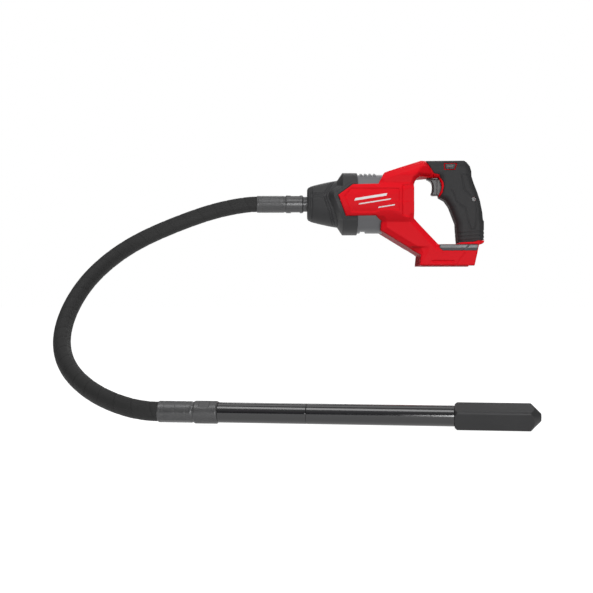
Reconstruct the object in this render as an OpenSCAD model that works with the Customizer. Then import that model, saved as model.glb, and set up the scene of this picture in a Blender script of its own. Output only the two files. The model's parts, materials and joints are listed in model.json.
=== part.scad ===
// Cordless concrete vibrator: a drive unit with a D handle, a rubber hose and a rigid wand.
// +Z is up, the nose of the drive unit points to -X and the handle to +X.
// The origin is the middle of the rear grip. Outlines of the housing are drawn from the battery foot:
// x from the middle of the foot, z from its lower rim.

/* [Drive unit] */
// Height of the drive axis above the battery foot
axis_z = 97; // [96:0.5:98]
// Radius of the grey motor casing
motor_r = 46; // [45:0.5:46.5]
// Radius of the red side panels over the motor
panel_r = 50; // [49.5:0.5:51]
// Wall of the moulded shells
wall = 3; // [2.6:0.1:3.2]
// Half the width of the red handle core
core_half_w = 16.5; // [16:0.5:18]
// Thickness of the rubber over the handle core
rubber = 2.5; // [2:0.1:3]
// Half the width of the battery foot
foot_half_w = 39.5; // [39:0.5:41]

/* [Controls] */
// Half the width of the trigger
trigger_half_w = 8; // [6:0.5:9]
// Gap round each sliding control
slide_gap = 0.35; // [0.3:0.05:0.5]

/* [Hose] */
// Outer radius of the rubber hose
hose_r = 12.1; // [11:0.1:12.5]
// Inner radius of the rubber hose
hose_bore_r = 7.8; // [7.7:0.05:8]
// Outer radius of the wound steel liner
liner_r = 7.5; // [7:0.1:7.5]
// Radius of the flexible core
core_r = 4; // [3.5:0.1:4.1]
// Radius of the crimped ferrules
ferrule_r = 13.25; // [12.8:0.05:13.6]
// Radius of the collars beside the ferrules
collar_r = 14; // [13.8:0.1:14.6]
// Width across the wrench flats of the collars
flats_w = 25; // [24:0.5:26]

/* [Wand] */
// Turn of the wand about the vertical, in degrees
wand_yaw = -8.5; // [-9:0.1:-8]
// Length of each ferrule
ferrule_l = 45.5; // [42:0.5:46]
// Length of each collar
collar_l = 30; // [26:0.5:30]
// Length from the start of the wand to the seam between the two stem tubes
seam_s = 185; // [170:5:200]
// Length from the start of the wand to the head
head_s = 362.5; // [355:0.5:370]
// Length of the head
head_l = 101; // [98:0.5:110]
// Radius of the stem tubes
stem_r = 12.5; // [12:0.1:13]
// Width of the square head
head_w = 25.7; // [25:0.1:27]
// Corner radius of the square head
head_corner_r = 3; // [2:0.5:4]
// Roll of the square head about the wand, in degrees
head_roll = 26; // [0:1:45]
// Radius of the flat tip
tip_r = 4.5; // [3:0.5:6]

/* [Hidden] */

red = [0.80, 0.10, 0.13];
black = [0.13, 0.13, 0.14];
grey = [0.42, 0.43, 0.45];
aluminium = [0.72, 0.73, 0.75];
steel = [0.55, 0.56, 0.58];
dark_steel = [0.25, 0.25, 0.27];
copper = [0.75, 0.45, 0.25];
green = [0.10, 0.35, 0.20];

grip_x = 34;                       // middle of the grip from the middle of the foot
grip_z = axis_z - 10;              // middle of the grip above the foot
fit = 0.05;                        // gap of a shaft in its bore, on the radius
join_gap = 0.1;                    // gap between fixed pieces that lie beside each other
grip_half_w = core_half_w + rubber;

// Places along the drive axis, from the nose to the rear
collar_x1 = -221;
collar_x0 = collar_x1 - collar_l + 2.5;
ferrule_x0 = -294;
nipple_x1 = -204;
boot_x0 = -215;
boot_x1 = -168;
collar_flat_x0 = -160;
collar_flat_r = 48.8;
bumper_x1 = -137;
motor_x0 = -141;
motor_step_x = -97.5;
motor_x1 = -68;
motor_rear_r = 39.5;
stator_x = [-138, -102];
stator_r = 37.4;
rotor_r = 17.8;
bearing_r = 11;
shaft_r = 4;
passage_r = 7.9;                   // bore of the ferrules, the collars and the nipple
front_seat = [-192, -183];
rear_seat = [-81, -72];

function unit(v) = v / norm(v);
function inward(a, b) = unit([a[1] - b[1], b[0] - a[0]]);
// An anticlockwise outline moved inwards by d, with its corners kept sharp
function inset(p, d) = [for (i = [0:len(p) - 1])
    let (n1 = inward(p[(i + len(p) - 1) % len(p)], p[i]), n2 = inward(p[i], p[(i + 1) % len(p)]))
    p[i] + d * (n1 + n2) / (1 + n1 * n2)];

// Side outlines, anticlockwise, x along and z up
body_outline = [[-102, 53.7], [-40.8, 16.3], [-42.2, 0], [42.2, 0], [46.8, 20.7], [48.8, 32.3],
    [52, 37], [20, 35.4], [19.5, 32.8], [-13.2, 32.8], [-51, 72.5], [-51, 124.2], [-47.5, 133],
    [-41.4, 137.2], [-17.7, 137.6], [-17.7, 143.8], [-30.3, 163.9], [-37.8, 164.2],
    [-95.9, 143.8], [-106, 125.8], [-112, 100], [-109.9, 76.6], [-102, 67.7]];
panel_outline = [[-156, 75.7], [-109.9, 76.6], [-100, 80], [-100, 122], [-106, 125.8],
    [-144.9, 124.7], [-168, 107.7]];
core_outline = [[22.6, 33], [58.4, 36], [58.4, 70], [57, 72], [56, 83.3], [52.5, 100.7], [48.3, 113.7],
    [42.9, 127.8], [39.3, 139.2], [39, 147.2], [36.6, 154.8], [32.4, 160.2], [29.5, 162],
    [-31, 161], [-24, 144], [-12, 139.5], [-8.4, 134], [-6.2, 129.2], [-5.5, 124], [-6.1, 118.6],
    [-8, 113.6], [-11, 108.6], [1.6, 103.6], [9.6, 92.5], [19.8, 66.2]];
grip_outline = [[20.3, 35.6], [43.6, 36.8], [50, 39.3], [61.2, 40.7], [61.2, 69.7], [59.7, 71.9],
    [58.6, 83.7], [55.1, 101.3], [50.9, 114.5], [45.4, 128.6], [41.8, 139.7], [41.5, 148],
    [39, 156], [34, 162], [30, 164.6], [-30.3, 163.9], [-17.7, 143.8], [-8.8, 142.5], [-8.9, 139.7],
    [-3, 130], [-2.4, 124], [-4.2, 114.6], [-8.9, 106.8], [0.2, 101.7], [7.2, 91.7], [17.3, 65.6]];
lip_outline = [[46, 30], [59.2, 35.2], [61.3, 39.9], [50.2, 38.8], [44, 36.2]];
// The red rim behind the trigger, almost flush with the rubber
rim_outline = [[-11, 108.6], [-8.9, 107], [-4.3, 114.6], [-2.5, 124], [-3.1, 130], [-9, 139.6],
    [-8.9, 142.4], [-17.8, 143.7], [-17.8, 137.6], [-10.8, 137.2], [-8.4, 134], [-6.2, 129.2],
    [-5.5, 124], [-6.1, 118.6], [-8, 113.6]];
trim_outline = [[-12, 27.5], [-7, 22.8], [46, 22.8], [47.6, 32.6], [-12, 32.6]];
trim_t = 2;                        // thickness of the trim on each side of the foot

// Half widths against x for the upper and the lower part of the housing, and against z
plan_upper = [[-130, -panel_r], [-96, -panel_r], [-51, -43], [-30, -26], [-20, -grip_half_w],
    [70, -grip_half_w], [70, 0], [-130, 0]];
plan_lower = [[-130, -panel_r], [-96, -panel_r], [-51, -43], [-36, -foot_half_w], [54, -foot_half_w],
    [70, -34], [70, 0], [-130, 0]];
section_outline = [[0, -1], [0, 170], [-18, 170], [-30, 158], [-panel_r, 124], [-panel_r, 74],
    [-foot_half_w, 45], [-foot_half_w, 3], [1.5 - foot_half_w, 0], [1.5 - foot_half_w, -1]];

// Controls in the handle
lock_window = [[-2.2, 149.2], [14.6, 149.2], [18.4, 160], [-2.2, 160]];
lock_outline = [[-0.4, 150.6], [13.4, 150.6], [16.2, 158.6], [-0.4, 158.6]];
lock_end = 0.8;                    // how far the lock button lies below the rubber
trigger_rear_x = 3;
trigger_z = [109.9, 136.6];
trigger_outline = [[-4, trigger_z[0]], [trigger_rear_x, trigger_z[0]], [trigger_rear_x, trigger_z[1]],
    [-27.8, trigger_z[1]], [-28.3, 135.4], [-21, 131.4], [-18.7, 124.2], [-19.2, 117],
    [-21, 112.7], [-19.2, trigger_z[0]]];
switch_x = [14, 34];
switch_z = [110, 136];
plunger_z = 123;

// Screw bosses as [x, z, half length of the screw]; these screws go in from the right
grip_low_screw = [53, 60, 13];
boss_spots = [[-59, 134, 36], [-64, 48, 36], [-59, 80, 36], [-27, 148, 17], [-34, 24, 33],
    grip_low_screw];
// The grip screw goes in from the left
grip_screw = [44.3, 103.7, 13];
boss_r = 4.2;
screw_r = 1.5;
screw_head_r = 3.2;
screw_head_h = 2.6;
cap_hole_r = 4.2;                  // hole in the rubber over a screw

// Battery socket in the foot, open below and at the rear
socket_front_x = -36;
rail_z = 3;                        // height of the lip along each side
socket_z = 13.5;                   // height of its ceiling
socket_half_w = 31;
socket_block = [[-43, -1], [47, -1], [47, socket_z + wall], [-43, socket_z + wall]];
rail_half_w = 26.5;
terminal_ys = [-12, -4, 4, 12];
blade_half_t = 0.4;

// Places along the wand, from the start of the lower ferrule
collar_s1 = ferrule_l + collar_l;
wand_l = head_s + head_l;
stem_bore_r = 10.3;
head_bore_r = 9.5;
head_bore_s = wand_l - 14.5;
journal_r = 4.5;
head_bearing_s = [[head_s + 5, head_s + 14], [head_bore_s - 10, head_bore_s - 1]];

// Route of the hose from the upper ferrule to the lower one
hose_route = [[-328, 0, 10], [-358, 0, 7], [-394, -1, -1], [-430, -5, -13], [-464, -13, -27],
    [-497, -25, -43], [-527, -43, -62], [-553, -68, -85], [-573, -100, -111], [-586, -138, -140],
    [-591, -179, -169], [-588, -218, -194], [-578, -254, -215], [-562, -286, -233],
    [-541, -313, -248], [-517, -335, -260], [-491, -352, -269], [-464, -364, -275],
    [-436, -371, -277]];
hose_sides = 12;
route_ref = [0, -0.6, 0.8];        // roughly square to the plane that the hose bends in
nose_d = [-1, 0, 0];
wand_d = [cos(wand_yaw), sin(wand_yaw), 0];
wand_start = hose_route[len(hose_route) - 1];
liner_route = concat([hose_route[0] - 38 * nose_d], hose_route, [wand_start + 38 * wand_d]);
core_route = concat([hose_route[0] - 72 * nose_d], hose_route, [wand_start + 55 * wand_d]);

// Rings of n points round each point of a route; d0 and d1 are the directions at its ends
function tangent(p, i, d0, d1) = i == 0 ? d0 : i == len(p) - 1 ? d1 : unit(p[i + 1] - p[i - 1]);
function ring(c, t, ref, r, n) = let (u = unit(cross(t, ref)), v = cross(u, t))
    [for (k = [0:n - 1]) c + r * (cos(360 * k / n) * u + sin(360 * k / n) * v)];
function rings(p, d0, d1, ref, r, n) =
    [for (i = [0:len(p) - 1]) each ring(p[i], tangent(p, i, d0, d1), ref, r, n)];
function skin(m, n, base, out) = [for (i = [0:m - 2], k = [0:n - 1])
    let (a = base + i * n + k, b = base + i * n + (k + 1) % n)
    out ? [a, a + n, b + n, b] : [b, b + n, a + n, a]];

module solid_sweep(p, d0, d1, ref, r, n) {
    last = (len(p) - 1) * n;
    polyhedron(rings(p, d0, d1, ref, r, n), concat(skin(len(p), n, 0, true),
        [[for (k = [0:n - 1]) k], [for (k = [n - 1:-1:0]) last + k]]), convexity = 6);
}
module hollow_sweep(p, d0, d1, ref, r_out, r_in, n) {
    inner = len(p) * n;
    last = (len(p) - 1) * n;
    polyhedron(concat(rings(p, d0, d1, ref, r_out, n), rings(p, d0, d1, ref, r_in, n)),
        concat(skin(len(p), n, 0, true), skin(len(p), n, inner, false),
            [for (k = [0:n - 1]) [k, (k + 1) % n, inner + (k + 1) % n, inner + k]],
            [for (k = [0:n - 1]) [last + k, inner + last + k, inner + last + (k + 1) % n,
                last + (k + 1) % n]]), convexity = 8);
}

// Moves a piece drawn from the battery foot to the middle of the grip
module from_foot() translate([-grip_x, 0, -grip_z]) children();
module on_drive_axis() from_foot() translate([0, 0, axis_z]) rotate([0, 90, 0]) children();
// A piece turned about the drive axis, from a list of [x, radius]
module turned(profile) on_drive_axis() rotate_extrude($fn = 96)
    polygon([for (p = profile) [p[1], p[0]]]);
module sleeve(x0, x1, r_out, r_in) turned([[x0, r_in], [x0, r_out], [x1, r_out], [x1, r_in]]);
// A piece along the wand, with z as the length from the start of the lower ferrule
module on_wand() translate(wand_start) rotate([0, 0, wand_yaw]) rotate([0, 90, 0]) children();
module wand_turned(profile) on_wand() rotate_extrude($fn = 96)
    polygon([for (p = profile) [p[1], p[0]]]);
module wand_sleeve(s0, s1, r_out, r_in)
    wand_turned([[s0, r_in], [s0, r_out], [s1, r_out], [s1, r_in]]);
// A side outline made solid from y0 to y1, and a round column across the drive unit
module slab(outline, y0, y1) translate([0, y1, 0]) rotate([90, 0, 0]) linear_extrude(y1 - y0)
    polygon(outline);
module across(at, r, y0, y1) translate([at[0], y1, at[1]]) rotate([90, 0, 0])
    cylinder(h = y1 - y0, r = r, $fn = 32);
module plan(outline, z0, z1) translate([0, 0, z0]) linear_extrude(z1 - z0) polygon(outline);
module section(outline) translate([-200, 0, 0]) rotate([90, 0, 90]) linear_extrude(400)
    polygon(outline);
module on_side(side) mirror([0, side > 0 ? 1 : 0, 0]) children();

// The room inside the housing that the motor casing takes
module motor_room() translate([-200, 0, axis_z]) rotate([0, 90, 0]) {
    cylinder(h = 200 + motor_step_x + join_gap, r = motor_r + join_gap, $fn = 96);
    cylinder(h = 200 + motor_x1 + join_gap, r = motor_rear_r + join_gap, $fn = 96);
}
// The form of one housing half on the left side, made smaller by d all over
function narrowed(p, d) = [for (q = p) [q[0], min(0, q[1] + d)]];
function thinned(p, d) = [for (q = p) [min(0, q[0] + d), q[1]]];
module half_form(d) {
    for (part = [[plan_upper, 72, 170], [plan_lower, -1, 98]]) intersection() {
        slab(inset(body_outline, d), d - panel_r, 0);
        plan(narrowed(part[0], d), part[1], part[2]);
        section(thinned(section_outline, d));
    }
    slab(inset(core_outline, d), d - core_half_w, 0);
}
module socket_hollow() {
    slab([[socket_front_x, rail_z], [60, rail_z], [60, socket_z], [socket_front_x, socket_z]],
        -socket_half_w, socket_half_w);
    slab([[socket_front_x, -2], [60, -2], [60, rail_z + 1], [socket_front_x, rail_z + 1]],
        -rail_half_w, rail_half_w);
}
module trigger_slot() slab([[-12, trigger_z[0] - slide_gap], [4, trigger_z[0] - slide_gap],
    [4, trigger_z[1] + slide_gap], [-12, trigger_z[1] + slide_gap]],
    -trigger_half_w - slide_gap, trigger_half_w + slide_gap);
// Passage of the switch leads from the grip down into the foot
passage_x = [26, 40];
passage_z = [30, 42];
passage_half_w = 8;
module lead_passage() translate([passage_x[0], -passage_half_w, passage_z[0]])
    cube([passage_x[1] - passage_x[0], 2 * passage_half_w, passage_z[1] - passage_z[0]]);
module foot_trim_room(side) on_side(side)
    slab(inset(trim_outline, -join_gap), -foot_half_w - 2, trim_t - foot_half_w);

module housing_half(side) from_foot() difference() {
    on_side(side) union() {
        difference() {
            half_form(0);
            half_form(wall);
        }
        // side panel wrapped round the motor
        intersection() {
            slab(panel_outline, -panel_r - 5, -10);
            translate([-180, 0, axis_z]) rotate([0, 90, 0]) cylinder(h = 90, r = panel_r, $fn = 96);
        }
        slab(lip_outline, -core_half_w, 0);
        slab(rim_outline, 0.5 - grip_half_w, 0);
        // screw bosses, and the block that the battery socket is cut from
        intersection() {
            half_form(wall / 2);
            union() {
                for (at = concat(boss_spots, [grip_screw])) across(at, boss_r, -panel_r, 0);
                slab(socket_block, -foot_half_w, 0);
            }
        }
    }
    motor_room();
    socket_hollow();
    trigger_slot();
    lead_passage();
    slab(inset(lock_outline, -slide_gap), -panel_r, panel_r);
    foot_trim_room(-1);
    foot_trim_room(1);
    for (at = concat(boss_spots, [grip_screw])) across(at, screw_r + fit, -at[2], at[2]);
    for (at = boss_spots) across(at, screw_head_r + fit, at[2], 60);
    across(grip_screw, screw_head_r + fit, -60, -grip_screw[2]);
}
module grip_half(side) from_foot() difference() {
    on_side(side) slab(grip_outline, -grip_half_w, 0);
    slab(core_outline, -core_half_w, core_half_w);
    slab(lock_window, -panel_r, panel_r);
    trigger_slot();
    across(grip_screw, cap_hole_r, -panel_r, 0);
    across(grip_low_screw, cap_hole_r, 0, panel_r);
}
module foot_trim(side) from_foot() on_side(side)
    slab(trim_outline, -foot_half_w - 0.3, trim_t - foot_half_w - fit);

module housing_left() color(red) housing_half(-1);
module housing_right() color(red) housing_half(1);
module grip_left() color(black) grip_half(-1);
module grip_right() color(black) grip_half(1);
module foot_trim_left() color(grey) foot_trim(-1);
module foot_trim_right() color(grey) foot_trim(1);

// Motor casing with ribs above and below, a stepped rear and a seat for the rear bearing
rib_xs = [-133, -126, -119, -112];
module motor_casing() color(grey) {
    turned([[motor_x0, stator_r + fit], [motor_x0, motor_r], [motor_step_x, motor_r],
        [motor_step_x, motor_rear_r], [motor_x1, motor_rear_r], [motor_x1, bearing_r - 3],
        [rear_seat[1], bearing_r - 3], [rear_seat[1], bearing_r], [rear_seat[0], bearing_r],
        [rear_seat[0], bearing_r + 3], [rear_seat[1] - 2, bearing_r + 3],
        [rear_seat[1] - 2, stator_r + fit]]);
    intersection() {
        union() {
            for (x = rib_xs) sleeve(x, x + 3.5, motor_r + 1.8, motor_r - 1);
        }
        from_foot() translate([-150, -19, 40]) cube([60, 38, 120]);
    }
}

// Cast nose that carries the front bearing and the hose nipple
flange_r = 45.9;
nose_screw_ring_r = 41.5;
nose_screw_n = 4;
module nose_casting() color(aluminium) difference() {
    turned([[-211.9, 10], [-211.9, 24.3], [boot_x1, 33.2], [-163.4, 33.2], [-156, flange_r],
        [motor_x0, flange_r], [motor_x0, stator_r], [-158, stator_r], [-178, 22],
        [front_seat[1], 22], [front_seat[1], bearing_r], [front_seat[0], bearing_r],
        [front_seat[0], passage_r], [nipple_x1, passage_r], [nipple_x1, 10]]);
    for (a = [0:nose_screw_n - 1]) nose_screw_place(a) cylinder(h = 12, r = screw_r + fit, $fn = 24);
}
module nose_screw_place(a) on_drive_axis() rotate([0, 0, 45 + 90 * a])
    translate([nose_screw_ring_r, 0, motor_x0 - 12]) children();
module nose_screws() color(steel) for (a = [0:nose_screw_n - 1]) nose_screw_place(a)
    translate([0, 0, 1]) cylinder(h = 11, r = screw_r, $fn = 24);

// Rubber boot with two grooves round it
module nose_boot() color(black) turned([[boot_x0, 12], [boot_x0, 25], [-212.5, 28], [-209.5, 28.6],
    [-209.5, 27.4], [-207.5, 27.8], [-207.5, 29], [-186, 33.3], [-186, 32.3], [-184, 32.7],
    [-184, 33.7], [boot_x1, 36.8], [boot_x1, 33.3], [-212, 24.4], [-212, 12]]);
// Bumper collar, cut away where the side panels pass over the nose, with a flare beside their edges
flare_w = 9;
flare_x0 = -185;
module bumper_collar() color(black) difference() {
    union() {
        turned([[boot_x1, 33.3], [boot_x1, 36.8], [collar_flat_x0, collar_flat_r],
            [bumper_x1, collar_flat_r], [bumper_x1, motor_r + fit], [-156.1, motor_r + fit],
            [-163.6, 33.3]]);
        intersection() {
            turned([[flare_x0, 34.1], [flare_x0, collar_flat_r - 3], [flare_x0 + 8, collar_flat_r],
                [collar_flat_x0, collar_flat_r], [collar_flat_x0, 41], [boot_x1 + 1, 38],
                [boot_x1, 36.95]]);
            from_foot() slab(inset(panel_outline, -flare_w), -60, 60);
        }
    }
    from_foot() slab(inset(panel_outline, -join_gap), -60, 60);
}

// A screw across the drive unit, with its head on the side that s points to
module screw(at, s) translate([at[0], 0, at[1]]) rotate([-90 * s, 0, 0]) difference() {
    union() {
        translate([0, 0, 1 - at[2]]) cylinder(h = 2 * at[2] - 1, r = screw_r, $fn = 24);
        translate([0, 0, at[2]]) cylinder(h = screw_head_h, r = screw_head_r, $fn = 32);
    }
    translate([0, 0, at[2] + 1]) cylinder(h = screw_head_h, r = 1.7, $fn = 6);
}
module housing_screws() color(steel) from_foot() {
    for (at = boss_spots) screw(at, 1);
    screw(grip_screw, -1);
}

module trigger() color(black) from_foot() slab(trigger_outline, -trigger_half_w, trigger_half_w);
module lock_button() color(black) from_foot()
    slab(lock_outline, lock_end - grip_half_w, grip_half_w - lock_end);
spring_wire_r = 0.35;
spring_coil_r = 4;
spring_turns = 5;
spring_steps = 12;                 // points in one turn
spring_x = [trigger_rear_x + 0.65, switch_x[0] - 0.45];
spring_route = [for (i = [0:spring_turns * spring_steps]) let (a = 360 * i / spring_steps)
    [spring_x[0] + (spring_x[1] - spring_x[0]) * i / (spring_turns * spring_steps),
        spring_coil_r * sin(a), plunger_z + spring_coil_r * cos(a)]];
module trigger_spring() color(steel) from_foot()
    solid_sweep(spring_route, [0, 1, 0], [0, 1, 0], [1, 0, 0], spring_wire_r, 8);
module switch_body() color(dark_steel) from_foot() {
    translate([switch_x[0], -11, switch_z[0]])
        cube([switch_x[1] - switch_x[0], 22, switch_z[1] - switch_z[0]]);
    translate([trigger_rear_x + 6.5, 0, plunger_z]) rotate([0, 90, 0])
        cylinder(h = switch_x[0] - trigger_rear_x - 6, r = 2);
}

board_z = 20;
module control_board() color(green) from_foot() {
    translate([-26, -30, board_z]) cube([56, 60, 1.6]);
    for (x = [-22, 24], y = [-26, 26]) translate([x, y, socket_z + wall])
        cylinder(h = board_z - socket_z - wall, r = 2.5);
    for (i = [0:2]) translate([-20 + 14 * i, -20, board_z + 1.6]) cube([10, 14, 4]);
    for (i = [0:1]) translate([-12 + 16 * i, 12, board_z + 1.6]) cylinder(h = 7, r = 5);
}
block_x = [-8, 22];
module terminal_block() color(black) from_foot() difference() {
    translate([block_x[0], -16, 5]) cube([block_x[1] - block_x[0], 32, socket_z - 5]);
    for (y = terminal_ys) {
        translate([block_x[0] + 3, y - 1.2, 4]) cube([40, 2.4, 6.5]);
        translate([block_x[0] + 3, y - blade_half_t - fit, 4]) cube([24, 2 * (blade_half_t + fit), 9]);
    }
}
module terminal_contacts() color(copper) from_foot() for (y = terminal_ys)
    translate([block_x[0] + 3.5, y - blade_half_t, 5.4]) cube([22, 2 * blade_half_t, 7.4]);
// Three motor leads from the motor to the board, and two switch leads down the handle to the board
lead_r = 1.5;
module leads() color(black) from_foot() {
    for (y = [-6, 0, 6]) solid_sweep([[-67.9, y, 93], [-65.6, y, 91], [-65.5, y, 82], [-65, y, 72],
        [-60, y, 62], [-53, y, 53], [-45, y, 44], [-35, y, 36.5], [-26, y, 31], [-23, y, 26],
        [-23, y, 21.8]], [1, 0, 0], [0, 0, -1], [0, 1, 0], lead_r, 8);
    for (y = [-5, 5]) solid_sweep([[26, y, switch_z[0] - fit], [27, y, 98], [30, y, 80], [34, y, 60],
        [36, y, 44], [33, y, 33], [28, y, 27], [27, y, 21.8]], [0, 0, -1], [0, 0, -1], [0, 1, 0],
        lead_r, 8);
}

slots = 6;
module stator() color(dark_steel) on_drive_axis() translate([0, 0, stator_x[0]])
    linear_extrude(stator_x[1] - stator_x[0]) {
        difference() {
            circle(stator_r, $fn = 96);
            circle(31, $fn = 96);
        }
        difference() {
            for (k = [0:slots - 1]) rotate(360 * k / slots) translate([0, -3.5]) square([32, 7]);
            circle(rotor_r + 0.6, $fn = 96);
        }
    }
module windings() color(copper) on_drive_axis() for (k = [0:slots - 1])
    rotate([0, 0, 360 * k / slots]) difference() {
        translate([21, -6.5, stator_x[0] - 1.5]) cube([9, 13, stator_x[1] - stator_x[0] + 3]);
        translate([20, -3.6, stator_x[0] - 0.1]) cube([11, 7.2, stator_x[1] - stator_x[0] + 0.2]);
    }
module rotor_core() color(steel) sleeve(stator_x[0], stator_x[1], rotor_r, shaft_r);
module motor_shaft() color(steel) sleeve(-212, motor_x1 - 2.5, shaft_r, 0);
blades = 9;
module fan() color(black) {
    sleeve(-94, -84, 8, shaft_r);
    sleeve(-94, -92.5, 34, 7.5);
    on_drive_axis() for (k = [0:blades - 1]) rotate([0, 0, 360 * k / blades])
        translate([7.5, -0.8, -93]) cube([26, 1.6, 8]);
}
// Socket on the front end of the shaft that the flexible core plugs into
module drive_socket() color(steel) turned([[-232, core_r + 0.3], [-232, 6.5], [-198, 6.5],
    [-198, shaft_r], [-212, shaft_r], [-212, core_r + 0.3]]);
module front_bearing() color(steel) sleeve(front_seat[0], front_seat[1], bearing_r, shaft_r + fit);
module rear_bearing() color(steel) sleeve(rear_seat[0], rear_seat[1], bearing_r, shaft_r + fit);

// Fittings at the nose: threaded nipple, collar with wrench flats and crimped ferrule
module hose_nipple() color(dark_steel) turned([[collar_x1, passage_r], [collar_x1, 11.75],
    [boot_x0 - fit, 11.75], [boot_x0 - fit, 9.9], [nipple_x1, 9.9], [nipple_x1, passage_r]]);
module flats(z0, z1) for (s = [-1, 1]) translate([s * (flats_w / 2 + 5) - 5, -20, z0])
    cube([10, 40, z1 - z0]);
module upper_collar() color(steel) difference() {
    sleeve(collar_x0, collar_x1, collar_r, passage_r);
    on_drive_axis() rotate([0, 0, 90]) flats(collar_x0 + 8, collar_x1 - 5);
}
module upper_ferrule() color(dark_steel) turned([[ferrule_x0, passage_r], [ferrule_x0, ferrule_r - 0.8],
    [ferrule_x0 + 1.5, ferrule_r], [collar_x0 - 3, ferrule_r], [collar_x0 - 2, ferrule_r - 0.6],
    [collar_x0, ferrule_r - 0.6], [collar_x0, passage_r]]);

module hose() color(black) hollow_sweep(hose_route, nose_d, wand_d, route_ref, hose_r, hose_bore_r,
    hose_sides);
module hose_liner() color(steel) hollow_sweep(liner_route, nose_d, wand_d, route_ref, liner_r,
    core_r + 1, hose_sides);
module flex_core() color(steel) solid_sweep(core_route, nose_d, wand_d, route_ref, core_r, hose_sides);

module lower_ferrule() color(dark_steel) wand_turned([[fit, passage_r], [fit, ferrule_r - 0.8],
    [1.5, ferrule_r], [ferrule_l - 3, ferrule_r], [ferrule_l - 2, ferrule_r - 0.6],
    [ferrule_l, ferrule_r - 0.6], [ferrule_l, passage_r]]);
module lower_collar() color(steel) difference() {
    wand_sleeve(ferrule_l, collar_s1, collar_r, passage_r);
    on_wand() rotate([0, 0, 90]) flats(ferrule_l + 5, collar_s1 - 8);
}
module stem_tube_rear() color(black) wand_sleeve(collar_s1, seam_s, stem_r, stem_bore_r);
module stem_tube_front() color(black) wand_sleeve(seam_s, head_s, stem_r, stem_bore_r);
module stem_sleeve() color(steel) wand_sleeve(seam_s - 22, seam_s + 22, stem_bore_r - fit, 8);
module stem_bushes() color(copper) {
    wand_sleeve(collar_s1 + 10, collar_s1 + 22, stem_bore_r - fit, shaft_r + fit);
    wand_sleeve(seam_s - 8, seam_s + 8, 7.95, shaft_r + fit);
    wand_sleeve(head_s - 24, head_s - 12, stem_bore_r - fit, shaft_r + fit);
}
module drive_shaft() color(steel) wand_sleeve(60, head_bearing_s[0][0], shaft_r, 0);

// Square head with rounded edges, a short chamfer behind and a cone in front
module rounded_square(w, r) {
    square([w - 2 * r, w], center = true);
    square([w, w - 2 * r], center = true);
    for (x = [-1, 1], y = [-1, 1]) translate([x, y] * (w / 2 - r)) circle(r, $fn = 32);
}
corner_reach = sqrt(2) * (head_w / 2 - head_corner_r) + head_corner_r;
module head_shell() color(black) difference() {
    intersection() {
        on_wand() rotate([0, 0, head_roll]) translate([0, 0, head_s]) linear_extrude(head_l)
            rounded_square(head_w, head_corner_r);
        wand_turned([[head_s, 0], [head_s, corner_reach - 3], [head_s + 4, corner_reach + 1],
            [wand_l - corner_reach - 1 + tip_r, corner_reach + 1], [wand_l, tip_r], [wand_l, 0]]);
    }
    wand_sleeve(head_s - 1, head_bore_s, head_bore_r, 0);
}
module head_seal() color(copper) wand_sleeve(head_s, head_s + 4.5, head_bore_r - fit, shaft_r + fit);
module head_bearings() color(steel) for (b = head_bearing_s)
    wand_sleeve(b[0], b[1], head_bore_r - fit, journal_r + fit);
// Journals at both ends and a half-round mass that hangs below the axis
weight_r = 8.9;
module eccentric_weight() color(steel) {
    wand_sleeve(head_bearing_s[0][0], head_bearing_s[0][1] + 2, journal_r, 0);
    wand_sleeve(head_bearing_s[1][0] - 2, head_bearing_s[1][1], journal_r, 0);
    on_wand() intersection() {
        translate([0, 0, head_bearing_s[0][1] + 2])
            cylinder(h = head_bearing_s[1][0] - head_bearing_s[0][1] - 4, r = weight_r, $fn = 64);
        translate([-2, -10, 0]) cube([12, 20, wand_l]);
    }
}

housing_left();
housing_right();
grip_left();
grip_right();
motor_casing();
nose_casting();
nose_boot();
bumper_collar();
foot_trim_left();
foot_trim_right();
housing_screws();
nose_screws();
trigger();
trigger_spring();
lock_button();
switch_body();
control_board();
terminal_block();
terminal_contacts();
leads();
stator();
windings();
rotor_core();
motor_shaft();
fan();
drive_socket();
front_bearing();
rear_bearing();
hose_nipple();
upper_collar();
upper_ferrule();
hose();
hose_liner();
flex_core();
lower_ferrule();
lower_collar();
stem_tube_rear();
stem_tube_front();
stem_sleeve();
stem_bushes();
drive_shaft();
head_shell();
head_seal();
head_bearings();
eccentric_weight();
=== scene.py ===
import json
import math

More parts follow.
